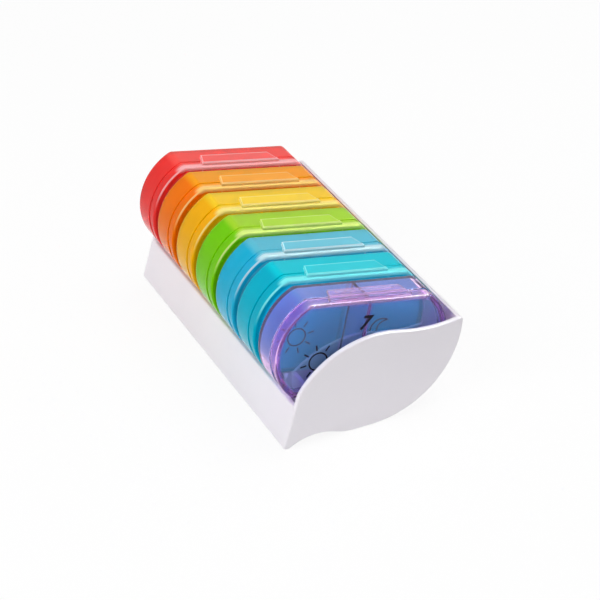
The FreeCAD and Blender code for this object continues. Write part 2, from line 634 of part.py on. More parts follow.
def draw_leaf(sketch):
    """The end wall's outline, smooth all round: toe, hollow, belly, tip, dip, crest and shoulder."""
    belly_x = size("belly_x")
    flat_x = belly_x - size("belly_flat")
    sole_end = size("sole_end")
    hollow_z = size("hollow_rise") - HOLLOW_RADIUS
    rest = (flat_x - size("hollow_x")) ** 2 + hollow_z ** 2 - HOLLOW_RADIUS ** 2
    heel_radius = rest / (2 * size("hollow_rise"))
    heel_turn = bearing(flat_x, heel_radius, size("hollow_x"), hollow_z)
    dip_x = size("dip_x")
    dip_z = dip_centre_z(CREST_Z)
    tip_x, tip_z = meet(
        belly_x, BELLY_RADIUS, BELLY_RADIUS - size("tip_round"),
        dip_x, dip_z, size("dip_radius") + size("tip_round"), upper=True,
    )
    if tip_x < dip_x:
        tip_x, tip_z = meet(
            belly_x, BELLY_RADIUS, BELLY_RADIUS - size("tip_round"),
            dip_x, dip_z, size("dip_radius") + size("tip_round"), upper=False,
        )
    crest_turn = bearing(CREST_X, CREST_Z, dip_x, dip_z)
    shoulder = size("shoulder_round")
    foot = size("foot_round")
    foot_x = foot * (1 + math.sin(WALL_LEAN)) / math.cos(WALL_LEAN)
    left_turn = math.pi - WALL_LEAN

    hollow = add_arc(
        sketch, size("hollow_x"), hollow_z, HOLLOW_RADIUS,
        bearing(size("hollow_x"), hollow_z, flat_x, heel_radius),
        bearing(size("hollow_x"), hollow_z, sole_end, foot),
    )
    heel = add_arc(sketch, flat_x, heel_radius, heel_radius, heel_turn, 1.5 * math.pi)
    ground = add_line(sketch, flat_x, 0, belly_x, 0)
    tip_turn = bearing(belly_x, BELLY_RADIUS, tip_x, tip_z)
    if tip_turn < math.pi:
        tip_turn += 2 * math.pi
    belly = add_arc(sketch, belly_x, BELLY_RADIUS, BELLY_RADIUS, 1.5 * math.pi, tip_turn)
    dip_turn = bearing(tip_x, tip_z, dip_x, dip_z)
    tip = add_arc(sketch, tip_x, tip_z, size("tip_round"), tip_turn - 2 * math.pi, dip_turn)
    dip = add_arc(
        sketch, dip_x, dip_z, size("dip_radius"),
        bearing(dip_x, dip_z, CREST_X, CREST_Z), bearing(dip_x, dip_z, tip_x, tip_z),
    )
    crest = add_arc(
        sketch, CREST_X, CREST_Z, size("crest_radius"),
        crest_turn, bearing(CREST_X, CREST_Z, SHOULDER_X, SHOULDER_Z),
    )
    bend = add_arc(
        sketch, SHOULDER_X, SHOULDER_Z, shoulder,
        bearing(CREST_X, CREST_Z, SHOULDER_X, SHOULDER_Z), left_turn,
    )
    left = add_line(
        sketch,
        SHOULDER_X + shoulder * math.cos(left_turn), SHOULDER_Z + shoulder * math.sin(left_turn),
        foot_x + foot * math.cos(left_turn), foot + foot * math.sin(left_turn),
    )
    toe = add_arc(sketch, foot_x, foot, foot, left_turn, 1.5 * math.pi)
    sole = add_line(sketch, foot_x, 0, sole_end, 0)
    ball_turn = bearing(sole_end, foot, size("hollow_x"), hollow_z)
    ball = add_arc(sketch, sole_end, foot, foot, 1.5 * math.pi, ball_turn)

    blend(sketch, toe, LAST, sole, FIRST)
    blend(sketch, sole, LAST, ball, FIRST)
    blend(sketch, ball, LAST, hollow, LAST)
    blend(sketch, hollow, FIRST, heel, FIRST)
    blend(sketch, heel, LAST, ground, FIRST)
    blend(sketch, ground, LAST, belly, FIRST)
    blend(sketch, belly, LAST, tip, FIRST)
    blend(sketch, tip, LAST, dip, LAST)
    blend(sketch, dip, FIRST, crest, FIRST)
    blend(sketch, crest, LAST, bend, FIRST)
    blend(sketch, bend, LAST, left, FIRST)
    blend(sketch, left, LAST, toe, FIRST)
    level(sketch, sole)
    level(sketch, ground)
    on_ground(sketch, sole, LAST)
    on_ground(sketch, ground, LAST)
    place_x(sketch, sole, LAST, sole_end, "Sizes.sole_end")
    set_radius(sketch, ball, foot, "Sizes.foot_round")
    place_x(sketch, hollow, CENTRE, size("hollow_x"), "Sizes.hollow_x")
    set_radius(sketch, hollow, HOLLOW_RADIUS, HOLLOW_RADIUS_F)
    place_x(sketch, heel, LAST, flat_x, "Sizes.belly_x - Sizes.belly_flat")
    place_x(sketch, ground, LAST, belly_x, "Sizes.belly_x")
    set_radius(sketch, belly, BELLY_RADIUS, BELLY_RADIUS_F)
    set_radius(sketch, tip, size("tip_round"), "Sizes.tip_round")
    place_x(sketch, dip, CENTRE, dip_x, "Sizes.dip_x")
    set_radius(sketch, dip, size("dip_radius"), "Sizes.dip_radius")
    place_x(sketch, crest, CENTRE, CREST_X, CREST_X_F)
    place_z(sketch, crest, CENTRE, CREST_Z, CREST_Z_F)
    set_radius(sketch, crest, size("crest_radius"), "Sizes.crest_radius")
    set_radius(sketch, bend, shoulder, "Sizes.shoulder_round")
    sketch.addConstraint(Sketcher.Constraint("PointOnObject", ROOT, FIRST, left))
    lean = Sketcher.Constraint("Angle", left, -math.pi / 2 - WALL_LEAN)
    bind(sketch, lean, "-90 deg - Sizes.wall_lean * 1 deg")
    set_radius(sketch, toe, foot, "Sizes.foot_round")


def draw_cavity(sketch):
    """The room inside the tray: over the left wall, down to the floor, up the belly's inside."""
    slope = math.tan(WALL_LEAN)
    inner = size("tray_wall") / math.cos(WALL_LEAN)
    inner_f = "Sizes.tray_wall / cos(Sizes.wall_lean)"
    outside = -size("tray_wall")
    top = size("crest_height") + size("tray_wall")
    top_f = "Sizes.crest_height + Sizes.tray_wall"
    belly_x = size("belly_x")
    drop = BELLY_RADIUS - FLOOR_Z
    floor_end = belly_x - math.sqrt(INNER_BELLY ** 2 - drop ** 2)
    sill = add_line(sketch, outside, SILL_Z, inner + SILL_Z * slope, SILL_Z)
    wall = add_line(sketch, inner + SILL_Z * slope, SILL_Z, inner + FLOOR_Z * slope, FLOOR_Z)
    floor = add_line(sketch, inner + FLOOR_Z * slope, FLOOR_Z, floor_end, FLOOR_Z)
    end_turn = math.asin((top - BELLY_RADIUS) / INNER_BELLY)
    belly = add_arc(
        sketch, belly_x, BELLY_RADIUS, INNER_BELLY,
        bearing(belly_x, BELLY_RADIUS, floor_end, FLOOR_Z), 2 * math.pi + end_turn,
    )
    roof = add_line(sketch, belly_x + INNER_BELLY * math.cos(end_turn), top, outside, top)
    side = add_line(sketch, outside, top, outside, SILL_Z)
    join(sketch, sill, LAST, wall, FIRST)
    join(sketch, wall, LAST, floor, FIRST)
    join(sketch, floor, LAST, belly, FIRST)
    join(sketch, belly, LAST, roof, FIRST)
    join(sketch, roof, LAST, side, FIRST)
    join(sketch, side, LAST, sill, FIRST)
    level(sketch, sill)
    level(sketch, floor)
    level(sketch, roof)
    upright(sketch, side)
    place_x(sketch, side, LAST, outside, "-Sizes.tray_wall")
    place_z(sketch, side, LAST, SILL_Z, SILL_Z_F)
    place_z(sketch, side, FIRST, top, top_f)
    place_x(
        sketch, wall, FIRST, inner + SILL_Z * slope,
        f"{inner_f} + {SILL_Z_F} * tan(Sizes.wall_lean)",
    )
    place_x(
        sketch, wall, LAST, inner + FLOOR_Z * slope,
        f"{inner_f} + {FLOOR_Z_F} * tan(Sizes.wall_lean)",
    )
    place_z(sketch, wall, LAST, FLOOR_Z, FLOOR_Z_F)
    place_x(sketch, belly, CENTRE, belly_x, "Sizes.belly_x")
    place_z(sketch, belly, CENTRE, BELLY_RADIUS, BELLY_RADIUS_F)
    set_radius(sketch, belly, INNER_BELLY, INNER_BELLY_F)


def draw_divider_top(sketch):
    """All that lies under a divider's top edge, which follows the end wall's crest and dip, lower."""
    belly_x = size("belly_x")
    dip_x = size("dip_x")
    radius = size("crest_radius")
    drop = size("rib_drop")
    crest_z = CREST_Z - drop
    crest_z_f = f"{CREST_Z_F} - Sizes.rib_drop"
    dip_z = dip_centre_z(crest_z)
    end_x = belly_x + BELLY_RADIUS + size("tray_wall")
    end_z = dip_z - math.sqrt(size("dip_radius") ** 2 - (end_x - dip_x) ** 2)
    crest = add_arc(
        sketch, CREST_X, crest_z, radius, bearing(CREST_X, crest_z, dip_x, dip_z), math.pi
    )
    dip = add_arc(
        sketch, dip_x, dip_z, size("dip_radius"),
        bearing(dip_x, dip_z, CREST_X, crest_z), bearing(dip_x, dip_z, end_x, end_z),
    )
    right = add_line(sketch, end_x, end_z, end_x, crest_z)
    base = add_line(sketch, end_x, crest_z, CREST_X - radius, crest_z)
    blend(sketch, crest, FIRST, dip, FIRST)
    join(sketch, dip, LAST, right, FIRST)
    join(sketch, right, LAST, base, FIRST)
    join(sketch, base, LAST, crest, LAST)
    level(sketch, base)
    upright(sketch, right)
    place_x(sketch, crest, CENTRE, CREST_X, CREST_X_F)
    place_z(sketch, crest, CENTRE, crest_z, crest_z_f)
    set_radius(sketch, crest, radius, "Sizes.crest_radius")
    place_x(sketch, dip, CENTRE, dip_x, "Sizes.dip_x")
    set_radius(sketch, dip, size("dip_radius"), "Sizes.dip_radius")
    place_z(sketch, base, LAST, crest_z, crest_z_f)
    place_x(sketch, right, LAST, end_x, f"Sizes.belly_x + {BELLY_RADIUS_F} + Sizes.tray_wall")


def extrude(name, draw, start_f, length_f):
    """A solid with a drawn outline in the X-Z plane, run back along Y."""
    sketch = doc.addObject("Sketcher::SketchObject", f"{name}_outline")
    sketch.Placement = FreeCAD.Placement(
        FreeCAD.Vector(0, 0, 0), FreeCAD.Rotation(FreeCAD.Vector(1, 0, 0), 90)
    )
    draw(sketch)
    sketch.setExpression("Placement.Base.y", start_f)
    solid = doc.addObject("Part::Extrusion", name)
    solid.Base = sketch
    solid.DirMode = "Custom"
    solid.Dir = FreeCAD.Vector(0, 1, 0)
    solid.Solid = True
    solid.setExpression("LengthFwd", length_f)
    return solid


def add_block(name, sizes, base):
    """A box whose length, width, height and corner are each bound to a formula."""
    block = doc.addObject("Part::Box", name)
    for prop, formula in zip(("Length", "Width", "Height"), sizes):
        block.setExpression(prop, formula)
    for axis, formula in zip("xyz", base):
        block.setExpression(f"Placement.Base.{axis}", formula)
    return block


def combine(kind, name, parts):
    result = doc.addObject(kind, name)
    result.Shapes = parts
    result.Refine = True
    return result


def cut_from(name, base, tool):
    result = doc.addObject("Part::Cut", name)
    result.Base = base
    result.Tool = tool
    return result


def add_seat():
    """All that lies under the boxes' bottom flats; its top leans as they do."""
    under = f"({HALF_HEIGHT_F} + Sizes.seat_gap + {BELLY_RADIUS_F})"
    seat = add_block(
        "under_seat",
        ("Sizes.flat_length", TRAY_LENGTH_F, BELLY_RADIUS_F),
        (
            f"{BOX_X_F} - Sizes.flat_length / 2 * cos(Sizes.lean_angle)"
            f" - {under} * sin(Sizes.lean_angle)",
            "0",
            f"{BOX_Z_F} + Sizes.flat_length / 2 * sin(Sizes.lean_angle)"
            f" - {under} * cos(Sizes.lean_angle)",
        ),
    )
    seat.Placement.Rotation = FreeCAD.Rotation(FreeCAD.Vector(0, 1, 0), size("lean_angle"))
    seat.setExpression("Placement.Rotation.Angle", "Sizes.lean_angle")
    return seat


def add_rails(room):
    """Two upright rails along the tray, and the slightly wider plates that notch the dividers."""
    seat = add_seat()
    rails = {}
    notches = []
    for side, name in ((-1, "seat_rail_left"), (1, "seat_rail_right")):
        left = (
            f"{BOX_X_F} + {side} * (Sizes.flat_length / 2 - Sizes.rail_inset) * cos(Sizes.lean_angle)"
            f" - {HALF_HEIGHT_F} * sin(Sizes.lean_angle) - Sizes.rail_wall / 2"
        )
        plate = add_block(
            f"{name}_plate",
            ("Sizes.rail_wall", TRAY_LENGTH_F, "Sizes.crest_height"),
            (left, "0", "0"),
        )
        rails[name] = combine("Part::MultiCommon", name, [room, seat, plate])
        notches.append(
            add_block(
                f"{name}_notch",
                ("Sizes.rail_wall + 2 * Sizes.notch_gap", TRAY_LENGTH_F, "Sizes.crest_height"),
                (f"{left} - Sizes.notch_gap", "0", "Sizes.notch_gap"),
            )
        )
    wide = combine("Part::MultiFuse", "notch_plates", notches)
    return rails, combine("Part::MultiCommon", "notch_room", [wide, seat])


def add_dividers(room, notch_room):
    """The upright plates between the bays; each is notched over both rails."""
    under = extrude("under_divider_tops", draw_divider_top, "0", TRAY_LENGTH_F)
    dividers = {}
    for gap in range(1, int(size("day_count"))):
        name = f"bay_divider_{gap}"
        start = f"{TRAY_LENGTH_F} - ({END_F} + {gap} * {PITCH_F} - Sizes.rib_gap)"
        slab = add_block(
            f"{name}_slab",
            (f"Sizes.belly_x + {BELLY_RADIUS_F}", "Sizes.rib_wall", "Sizes.crest_height"),
            ("0", start, "0"),
        )
        plate = combine("Part::MultiCommon", f"{name}_plate", [room, under, slab])
        dividers[name] = cut_from(name, plate, notch_room)
    return dividers


def make_tray_pieces(name):
    """The tray's S-curved skin with its two leaf-shaped ends, the two rails and the dividers."""
    leaf = extrude("leaf", draw_leaf, "0", TRAY_LENGTH_F)
    cavity = extrude("cavity", draw_cavity, "Sizes.end_wall", f"{TRAY_LENGTH_F} - 2 * Sizes.end_wall")
    shell = cut_from(f"{name}_sharp", leaf, cavity)
    room = combine("Part::MultiCommon", "room", [leaf, cavity])
    rails, notch_room = add_rails(room)
    dividers = add_dividers(room, notch_room)
    doc.recompute()
    tray = doc.addObject("Part::Fillet", name)
    tray.Base = shell
    tray.Edges = rim_edges(shell.Shape)
    made = {name: tray, **rails, **dividers}
    for piece in made.values():
        piece.setExpression("Placement.Base.x", f"-{MIDDLE_X_F}")
        piece.setExpression("Placement.Base.y", f"-{TRAY_LENGTH_F} / 2")
    return made


def rim_edges(shape, tolerance=1e-4):
    """The outer rims of both ends, the end walls' inner rims and the left wall's top edges."""
    radius = size("rim_round")
    ends = (0, TRAY_LENGTH)
    inner_ends = (size("end_wall"), TRAY_LENGTH - size("end_wall"))
    chosen = []
    for number, edge in enumerate(shape.Edges, start=1):
        box = edge.BoundBox
        flat = box.YMax - box.YMin < tolerance
        at_end = flat and any(abs(box.YMin - y) < tolerance for y in ends)
        at_inner = flat and any(abs(box.YMin - y) < tolerance for y in inner_ends)
        reaches = box.ZMax > SILL_Z
        above = box.ZMin > SILL_Z - tolerance
        on_sill = above and box.ZMax < SILL_Z + tolerance
        if (at_end and reaches) or (at_inner and above and reaches) or (on_sill and not flat):
            chosen.append((number, radius, radius))
    return chosen


# ---------------------------------------------------------------- the whole organizer

pieces = make_tray_pieces("tray")
for day in range(1, int(size("day_count")) + 1):
    for kind, make in (("case", make_case), ("lid", make_lid)):
        node = f"day{day}_{kind}"
        pieces[node] = make(node)
        seat_box_piece(pieces[node], day)
for node, piece in pieces.items():
    piece.Label = node
doc.recompute()

for item in doc.Objects:
    if "Invalid" in item.State or "Error" in item.State:
        raise RuntimeError(f"{item.Name} failed: {item.State}")
os.makedirs("parts", exist_ok=True)
for node, piece in pieces.items():
    if piece.Shape.isNull() or not piece.Shape.isValid():
        raise RuntimeError(f"{node} has no valid shape")
for node, piece in pieces.items():
    piece.Shape.exportStep(f"parts/{node}.step")
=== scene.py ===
import math

import bpy
import numpy as np
from mathutils import Matrix, Vector


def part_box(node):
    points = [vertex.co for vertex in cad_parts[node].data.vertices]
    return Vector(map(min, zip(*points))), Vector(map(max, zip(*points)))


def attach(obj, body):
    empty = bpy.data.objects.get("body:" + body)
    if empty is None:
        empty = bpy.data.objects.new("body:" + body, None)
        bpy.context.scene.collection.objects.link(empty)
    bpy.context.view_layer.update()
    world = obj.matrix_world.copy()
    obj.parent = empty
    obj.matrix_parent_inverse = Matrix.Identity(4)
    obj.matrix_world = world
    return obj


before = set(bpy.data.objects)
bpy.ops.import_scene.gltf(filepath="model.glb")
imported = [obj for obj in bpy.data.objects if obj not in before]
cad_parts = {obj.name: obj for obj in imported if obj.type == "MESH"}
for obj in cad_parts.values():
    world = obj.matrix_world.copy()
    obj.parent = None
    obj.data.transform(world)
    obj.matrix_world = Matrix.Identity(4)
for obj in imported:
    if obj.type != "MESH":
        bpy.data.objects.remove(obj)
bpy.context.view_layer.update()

# Weekly pill organizer: seven tinted day boxes in a white wave-shaped tray.
# Metres, +Z up; the row of boxes runs along Y, with the last day in front at -Y.

MM = 0.001
DAYS = range(1, 8)

# ---------------------------------------------------------------- camera and light

CAMERA_AZIMUTH = -26.35
CAMERA_ELEVATION = 33.0
CAMERA_DISTANCE = 788.6 * MM
CAMERA_TARGET = Vector((-18.12, -43.31, 47.69)) * MM
CAMERA_LENS = 126.0

# each lamp: its name, place, target, side, watts, and whether only gloss sees it
LAMPS = (
    ("left_lamp", (-0.75, -0.25, 0.6), (0, 0, 0.03), 0.6, 4.9, False),
    ("top_lamp", (0.3, 0.08, 1.0), (0, 0, 0.03), 0.7, 5.0, False),
    ("edge_panel", (0.72, -0.45, 0.82), (0, 0, 0.04), 0.7, 55.0, True),
)
SEEN_LEVEL = 1.0
FILL_LEVEL = 0.32
FLOOR_GLOW = 0.9
FLOOR_SIZE = 8.0

# ---------------------------------------------------------------- the day boxes

LEAN = math.radians(10.8)
BOX_MIDDLE_Z = 35.249 * MM
FACE_ACROSS = Vector((math.cos(LEAN), 0, -math.sin(LEAN)))
FACE_UP = Vector((math.sin(LEAN), 0, math.cos(LEAN)))
PITCH = 19.0 * MM
FACE_MARGIN = 0.5 * MM
ARC_CENTRE = 12.2 * MM
OUTLINE_RADIUS = 24.2 * MM
OUTLINE_HEIGHT = 20.0 * MM
RIM_DEPTH = 3.15 * MM
TONGUE_HALF = 17.8 * MM
TONGUE_SLANT = 0.297
TONGUE_REACH = 8.4 * MM
WINDOW_RADIUS = 22.0 * MM
WINDOW_HEIGHT = 17.8 * MM
WINDOW_START = 0.8 * MM
WINDOW_SOFT = 0.4 * MM
TOP_STEP = (17.5 * MM, 19.6 * MM)
PRINT_PROUD = 0.02 * MM
PRINT_THICK = 0.04 * MM

# where the masks of a lid's painted highlight lines start and end: past its outline, up, and back
SKIN_STEP = (-1.9 * MM, -1.5 * MM)
FLAT_STEP = (17.0 * MM, 19.0 * MM)
FRONT_STEP = (2.5 * MM, 2.1 * MM)
SIDE_UP_STEP = (0.0, 12.0 * MM)
SIDE_BACK_STEP = (0.85 * MM, 0.6 * MM)
SIDE_SKIN_STEP = (-0.6 * MM, -0.4 * MM)
RIM_START_STEP = (RIM_DEPTH - 0.5 * MM, RIM_DEPTH - 0.3 * MM)
RIM_END_STEP = (RIM_DEPTH + 0.15 * MM, RIM_DEPTH + 0.05 * MM)
BESIDE_TONGUE_STEP = (TONGUE_HALF, TONGUE_HALF + 0.3 * MM)
TONGUE_SIDE_STEP = (TONGUE_HALF - 0.6 * MM, TONGUE_HALF - 0.35 * MM)
TONGUE_REAR_STEP = (TONGUE_REACH - 0.75 * MM, TONGUE_REACH - 0.5 * MM)
TONGUE_END_STEP = (TONGUE_REACH + 0.1 * MM, TONGUE_REACH)

# each day's plastic: its colour at the flat top (painted lighter, as painted top light), at the face's
# windows (painted with the light and the next box seen through one wall), elsewhere, its pale colour for the
# painted highlights along the lid's lip and tongue, its gloss, and how clear it is
TINTS = {
    1: dict(
        name="red_plastic", clear=0.42,
        top=(0.98, 0.13, 0.11), see_through_light=(0.98, 0.14, 0.12), deep=(0.94, 0.045, 0.04),
        edge=(1.0, 0.62, 0.64), gloss=(0.50, 0.16, 0.16),
    ),
    2: dict(
        name="orange_plastic", clear=0.42,
        top=(1.0, 0.50, 0.01), see_through_light=(1.0, 0.42, 0.01), deep=(1.0, 0.22, 0.0),
        edge=(1.0, 0.78, 0.30), gloss=(0.50, 0.34, 0.03),
    ),
    3: dict(
        name="yellow_plastic", clear=0.42,
        top=(1.0, 0.78, 0.03), see_through_light=(0.98, 0.68, 0.02), deep=(1.0, 0.54, 0.0),
        edge=(1.0, 0.92, 0.34), gloss=(0.50, 0.44, 0.04),
    ),
    4: dict(
        name="green_plastic", clear=0.42,
        top=(0.56, 0.82, 0.04), see_through_light=(0.42, 0.82, 0.03), deep=(0.22, 0.72, 0.0),
        edge=(0.88, 1.0, 0.34), gloss=(0.40, 0.50, 0.05),
    ),
    5: dict(
        name="light_blue_plastic", clear=0.45,
        top=(0.18, 0.68, 0.80), see_through_light=(0.18, 0.70, 0.90), deep=(0.0, 0.56, 0.82),
        edge=(0.80, 0.97, 1.0), gloss=(0.25, 0.45, 0.50),
    ),
    6: dict(
        name="teal_plastic", clear=0.25,
        top=(0.0, 0.70, 0.80), see_through_light=(0.01, 0.76, 1.0), deep=(0.0, 0.46, 0.62),
        edge=(0.26, 0.98, 1.0), gloss=(0.08, 0.50, 0.55),
    ),
    7: dict(
        name="purple_plastic", clear=0.95,
        top=(0.97, 0.76, 0.99), see_through_light=(0.56, 0.82, 1.0), deep=(0.90, 0.52, 0.98),
        edge=(1.0, 0.84, 0.99), gloss=(0.14, 0.22, 0.46),
    ),
}
CLEAR_IOR = 1.3
CLEAR_GLOSS = 0.15
WHITE_IOR = 1.46
INK_GLOSS = 0.1


# ---------------------------------------------------------------- shader groups

def new_group(name, inputs, outputs):
    """An empty shader node group with named sockets; gives the group, its entry and its exit."""
    group = bpy.data.node_groups.new(name, "ShaderNodeTree")
    for socket, kind, value in inputs:
        made = group.interface.new_socket(socket, in_out="INPUT", socket_type=kind)
        made.default_value = value
    for socket, kind in outputs:
        group.interface.new_socket(socket, in_out="OUTPUT", socket_type=kind)
    return group, group.nodes.new("NodeGroupInput"), group.nodes.new("NodeGroupOutput")


def node(tree, kind, **settings):
    """A new node with these settings."""
    made = tree.nodes.new(kind)
    for key, value in settings.items():
        setattr(made, key, value)
    return made


def make_flow_group():
    """Soft streaks that the melt leaves as it fills the mould: stretched noise, as a mask from 0 to 1."""
    group, enter, leave = new_group(
        "melt_flow",
        [("Vector", "NodeSocketVector", (0, 0, 0)), ("Scale", "NodeSocketFloat", 40.0)],
        [("Flow", "NodeSocketFloat")],
    )
    stretch = node(group, "ShaderNodeMapping")
    stretch.inputs["Scale"].default_value = (0.6, 1.7, 1.0)
    noise = node(group, "ShaderNodeTexNoise")
    noise.inputs["Detail"].default_value = 3.0
    noise.inputs["Roughness"].default_value = 0.55
    ramp = node(group, "ShaderNodeMapRange")
    ramp.inputs["From Min"].default_value = 0.3
    ramp.inputs["From Max"].default_value = 0.7
    group.links.new(enter.outputs["Vector"], stretch.inputs["Vector"])
    group.links.new(stretch.outputs["Vector"], noise.inputs["Vector"])
    group.links.new(enter.outputs["Scale"], noise.inputs["Scale"])
    group.links.new(noise.outputs["Fac"], ramp.inputs["Value"])
    group.links.new(ramp.outputs["Result"], leave.inputs["Flow"])
    return group


def make_grain_group():
    """The fine skin of moulded plastic: a small even grain and a few wider dull patches."""
    group, enter, leave = new_group(
        "mould_grain",
        [
            ("Vector", "NodeSocketVector", (0, 0, 0)),
            ("Scale", "NodeSocketFloat", 900.0),
            ("Smooth", "NodeSocketFloat", 0.1),
            ("Dull", "NodeSocketFloat", 0.2),
        ],
        [("Height", "NodeSocketFloat"), ("Roughness", "NodeSocketFloat")],
    )
    grain = node(group, "ShaderNodeTexNoise")
    grain.inputs["Detail"].default_value = 2.0
    patches = node(group, "ShaderNodeTexNoise")
    patches.inputs["Scale"].default_value = 90.0
    patches.inputs["Detail"].default_value = 4.0
    spread = node(group, "ShaderNodeMapRange")
    spread.inputs["From Min"].default_value = 0.35
    spread.inputs["From Max"].default_value = 0.75
    group.links.new(enter.outputs["Vector"], grain.inputs["Vector"])
    group.links.new(enter.outputs["Scale"], grain.inputs["Scale"])
    group.links.new(enter.outputs["Vector"], patches.inputs["Vector"])
    group.links.new(patches.outputs["Fac"], spread.inputs["Value"])
    group.links.new(enter.outputs["Smooth"], spread.inputs["To Min"])
    group.links.new(enter.outputs["Dull"], spread.inputs["To Max"])
    group.links.new(grain.outputs["Fac"], leave.inputs["Height"])
    group.links.new(spread.outputs["Result"], leave.inputs["Roughness"])
    return group


def calc(tree, operation, one, two=0.0):
    """A Math node on two sockets or plain numbers."""
    made = node(tree, "ShaderNodeMath", operation=operation)
    for socket, value in zip(made.inputs, (one, two)):
        if isinstance(value, float):
            socket.default_value = value
        else:
            tree.links.new(value, socket)
    return made.outputs[0]


def step(tree, value, start, end):
    """A smooth step from 0 at the start to 1 at the end."""
    made = node(tree, "ShaderNodeMapRange", interpolation_type="SMOOTHSTEP")
    made.inputs["From Min"].default_value = start
    made.inputs["From Max"].default_value = end
    tree.links.new(value, made.inputs["Value"])
    return made.outputs["Result"]


def both(tree, *masks):
    """Several masks multiplied together."""
    product = masks[0]
    for mask in masks[1:]:
        product = calc(tree, "MULTIPLY", product, mask)
    return product


def either(tree, *masks):
    """The greatest of several masks."""
    most = masks[0]
    for mask in masks[1:]:
        most = calc(tree, "MAXIMUM", most, mask)
    return most


def box_axes(tree, place):
    """A point's place in its own box: across and up from the middle, and back from the lid's face."""
    low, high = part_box("day7_lid")
    shift = node(tree, "ShaderNodeVectorMath", operation="SUBTRACT")
    shift.inputs[1].default_value = ((low.x + high.x) / 2, low.y - FACE_MARGIN, BOX_MIDDLE_Z)
    tree.links.new(place, shift.inputs[0])
    found = []
    for axis in (FACE_ACROSS, FACE_UP, Vector((0, 1, 0))):
        dot = node(tree, "ShaderNodeVectorMath", operation="DOT_PRODUCT")
        dot.inputs[1].default_value = axis
        tree.links.new(shift.outputs[0], dot.inputs[0])
        found.append(dot.outputs["Value"])
    across, up, along = found
    back = calc(tree, "SUBTRACT", calc(tree, "MODULO", along, PITCH), FACE_MARGIN)
    return calc(tree, "ABSOLUTE", across), up, back


def past_outline(tree, across, up, radius, height):
    """How far a point is past a box outline: past its flats, or past a side arc, whichever is more.

    Past an arc is the distance from the arc's centre, less its radius.
    """
    past_centre = calc(tree, "MAXIMUM", calc(tree, "SUBTRACT", across, ARC_CENTRE), 0.0)
    squares = calc(tree, "ADD", calc(tree, "POWER", past_centre, 2.0), calc(tree, "MULTIPLY", up, up))
    past_arc = calc(tree, "SUBTRACT", calc(tree, "SQRT", squares), radius)
    past_flat = calc(tree, "SUBTRACT", calc(tree, "ABSOLUTE", up), height)
    return calc(tree, "MAXIMUM", past_arc, past_flat)


def make_depth_group():
    """Masks of painted light, where a box lets the light through one wall: its flat top, painted lighter,
    and its face over the compartments, painted with the light that shows through.
    """
    group, enter, leave = new_group(
        "painted_wall_light",
        [
            ("Vector", "NodeSocketVector", (0, 0, 0)),
            ("Drift", "NodeSocketFloat", 0.0),
            ("Share", "NodeSocketFloat", 0.1),
        ],
        [("Window", "NodeSocketFloat"), ("Top", "NodeSocketFloat")],
    )
    across, up, _ = box_axes(group, enter.outputs["Vector"])
    past_wall = past_outline(group, across, up, WINDOW_RADIUS, WINDOW_HEIGHT)
    past_divider = calc(group, "SUBTRACT", WINDOW_START, across)
    see_through_light = step(group, either(group, past_wall, past_divider), WINDOW_SOFT, -WINDOW_SOFT)
    top = step(group, up, *TOP_STEP)
    moved = calc(group, "MULTIPLY", enter.outputs["Drift"], enter.outputs["Share"])
    rest = calc(group, "SUBTRACT", 1.0, enter.outputs["Share"])
    for name, mask in (("Window", see_through_light), ("Top", top)):
        kept = calc(group, "MULTIPLY", mask, rest)
        group.links.new(calc(group, "ADD", kept, moved), leave.inputs[name])
    return group


def make_edge_group():
    """Painted highlights on a lid: a band along its front lip, lines down its side arcs, at its rim's rear
    step and round the thumb tongue, and a faint painted sheen on the tongue's top.
    """
    group, enter, leave = new_group(
        "painted_edge_highlights",
        [("Vector", "NodeSocketVector", (0, 0, 0)), ("Tongue", "NodeSocketFloat", 0.25)],
        [("Highlight", "NodeSocketFloat")],
    )
    across, up, back = box_axes(group, enter.outputs["Vector"])
    past = past_outline(group, across, up, OUTLINE_RADIUS, OUTLINE_HEIGHT)
    skin = step(group, past, *SKIN_STEP)
    flat = step(group, up, *FLAT_STEP)
    front = both(group, skin, flat, step(group, back, *FRONT_STEP))
    side = both(
        group,
        step(group, up, *SIDE_UP_STEP),
        step(group, back, *SIDE_BACK_STEP),
        step(group, past, *SIDE_SKIN_STEP),
    )
    slanted = calc(group, "ADD", across, calc(group, "MULTIPLY", back, TONGUE_SLANT))
    beside_tongue = step(group, slanted, *BESIDE_TONGUE_STEP)
    on_tongue = calc(group, "SUBTRACT", 1.0, beside_tongue)
    rim_start = step(group, back, *RIM_START_STEP)
    rim_end = step(group, back, *RIM_END_STEP)
    rim_rear = both(group, flat, beside_tongue, rim_start, rim_end)
    raised = both(group, flat, on_tongue, step(group, back, *TONGUE_END_STEP))
    tongue_rear = both(group, raised, step(group, back, *TONGUE_REAR_STEP))
    tongue_side = both(group, raised, step(group, slanted, *TONGUE_SIDE_STEP))
    # painted sheen: the tongue's raised top takes this share of the painted highlight
    tongue_top = calc(group, "MULTIPLY", raised, enter.outputs["Tongue"])
    pale = either(group, front, side, rim_rear, tongue_rear, tongue_side, tongue_top)
    group.links.new(pale, leave.inputs["Highlight"])
    return group


FLOW = make_flow_group()
GRAIN = make_grain_group()
PAINTED_WALL_LIGHT = make_depth_group()
EDGE_HIGHLIGHTS = make_edge_group()


def new_material(name):
    """A material with a Principled shader, and Object coordinates to read."""
    material = bpy.data.materials.new(name)
    material.use_nodes = True
    tree = material.node_tree
    shader = tree.nodes["Principled BSDF"]
    place = node(tree, "ShaderNodeTexCoord")
    return material, tree, shader, place.outputs["Object"]


